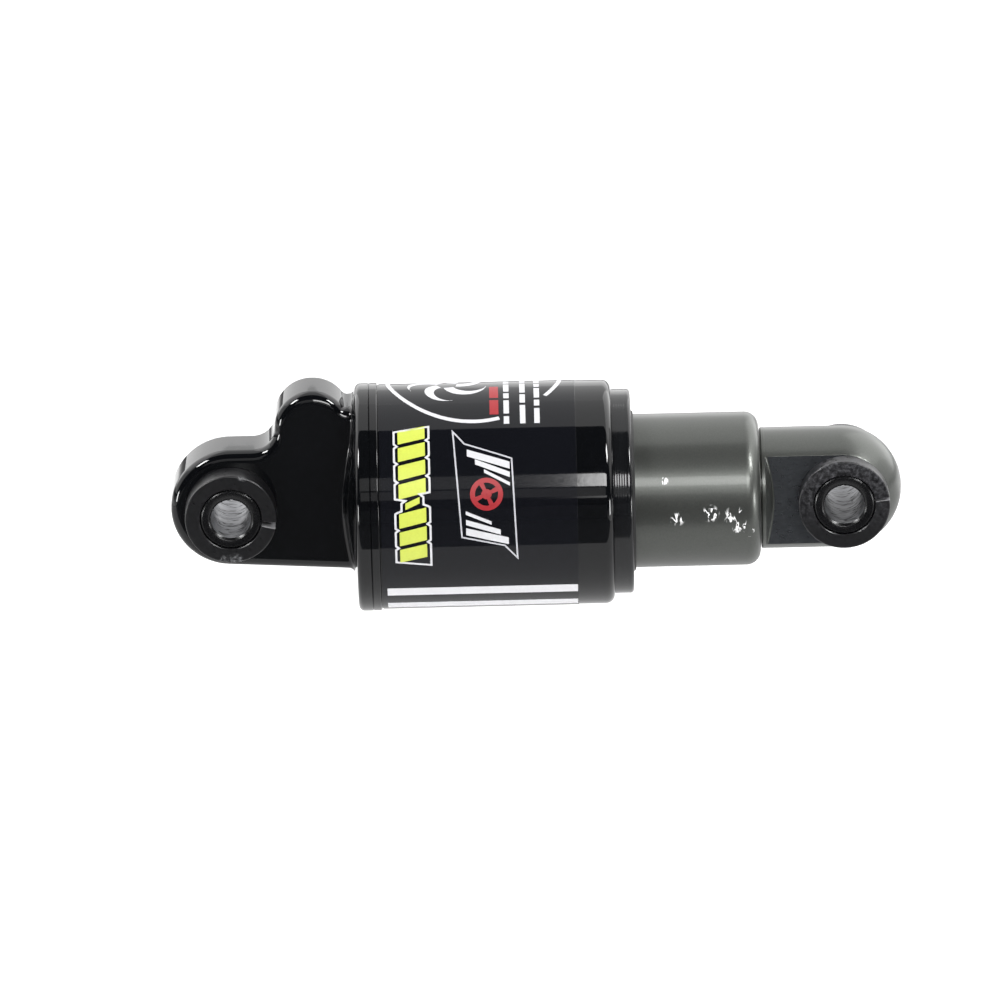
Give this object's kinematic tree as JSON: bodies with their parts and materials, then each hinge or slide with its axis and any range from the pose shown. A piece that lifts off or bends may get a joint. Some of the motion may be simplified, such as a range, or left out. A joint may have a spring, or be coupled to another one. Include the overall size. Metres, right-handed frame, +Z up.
{
  "type": "bicycle rear shock",
  "caption": "Compact rear shock for a small bicycle: black air can with a valve, slimmer grey damper body that slides into it, and an eye with a bolt sleeve and split spacers at each end.",
  "frame": {"origin": "centre of the head eye's bolt hole, midway along it", "axes": "+X along the shock from the head eye to the foot eye, +Y along the bolt holes towards the valve's side, +Z up towards the valve boss"},
  "size_m": [0.149, 0.0466, 0.047],
  "materials": {
    "black_paint": "gloss black powder coat on cast and turned aluminium",
    "gunmetal_anodise": "dark grey-green anodised aluminium, worn bright in scuffs",
    "label_film": null,
    "steel": "turned steel, fine machining rings",
    "rod_chrome": "ground and hard chromed",
    "spacer_polymer": "black moulded nylon",
    "rubber": "black nitrile",
    "bush_bronze": "sintered bronze dry bush",
    "piston_alloy": "plain turned aluminium",
    "glide_band": "brown filled PTFE",
    "valve_brass": "turned brass",
    "cap_plastic": "black moulded plastic"
  },
  "bodies": {
    "head_and_can": {"head_casting": "black_paint", "upper_eye_bush": "bush_bronze", "air_can": "black_paint", "can_label": "label_film", "can_o_ring": "rubber", "gland_collar": "black_paint", "gland_o_ring": "rubber", "gland_bush": "bush_bronze", "gland_seal": "rubber", "dust_wiper": "rubber", "top_out_bumper": "rubber", "bottom_out_bumper": "rubber", "damper_rod": "rod_chrome", "rod_o_ring": "rubber", "damper_piston": "piston_alloy", "damper_piston_band": "glide_band", "rebound_shims": "steel", "compression_shims": "steel", "damper_piston_nut": "steel", "valve_body": "valve_brass", "valve_o_ring": "rubber", "valve_core": "valve_brass"},
    "air_piston_rings": {"air_piston_seal": "rubber", "air_piston_band": "glide_band"},
    "damper_body": {"air_piston": "piston_alloy", "air_piston_o_ring": "rubber", "rod_bush": "bush_bronze", "rod_seal": "rubber", "damper_tube": "gunmetal_anodise", "foot_eyelet": "gunmetal_anodise", "foot_o_ring": "rubber", "lower_eye_bush": "bush_bronze"},
    "upper_hardware": {"upper_sleeve": "steel", "upper_near_spacer": "spacer_polymer", "upper_far_spacer": "spacer_polymer"},
    "lower_hardware": {"lower_sleeve": "steel", "lower_near_spacer": "spacer_polymer", "lower_far_spacer": "spacer_polymer"},
    "valve_pin": {"valve_pin": "steel"},
    "valve_cap": {"valve_cap": "cap_plastic"}
  },
  "joints": [
    {"name": "compression", "type": "slide", "parent": "head_and_can", "child": "air_piston_rings", "axis": [-1, 0, 0], "range_m": [0, 0.022], "stiffness_N_per_m": 8000, "springref_m": -0.005},
    {"name": "body_twist", "type": "hinge", "parent": "air_piston_rings", "child": "damper_body", "pos_m": [0.0648, 0, 0], "axis": [1, 0, 0], "continuous": true},
    {"name": "upper_eye_turn", "type": "hinge", "parent": "head_and_can", "child": "upper_hardware", "pos_m": [0, 0, 0], "axis": [0, 1, 0], "continuous": true},
    {"name": "lower_eye_turn", "type": "hinge", "parent": "damper_body", "child": "lower_hardware", "pos_m": [0.125, 0, 0], "axis": [0, 1, 0], "continuous": true},
    {"name": "valve_pin_press", "type": "slide", "parent": "head_and_can", "child": "valve_pin", "axis": [0, -1, 0], "range_m": [0, 0.001], "stiffness_N_per_m": 500, "springref_m": -0.001},
    {"name": "valve_cap_off", "type": "slide", "parent": "head_and_can", "child": "valve_cap", "axis": [0, 1, 0], "range_m": [0, 0.012]}
  ]
}
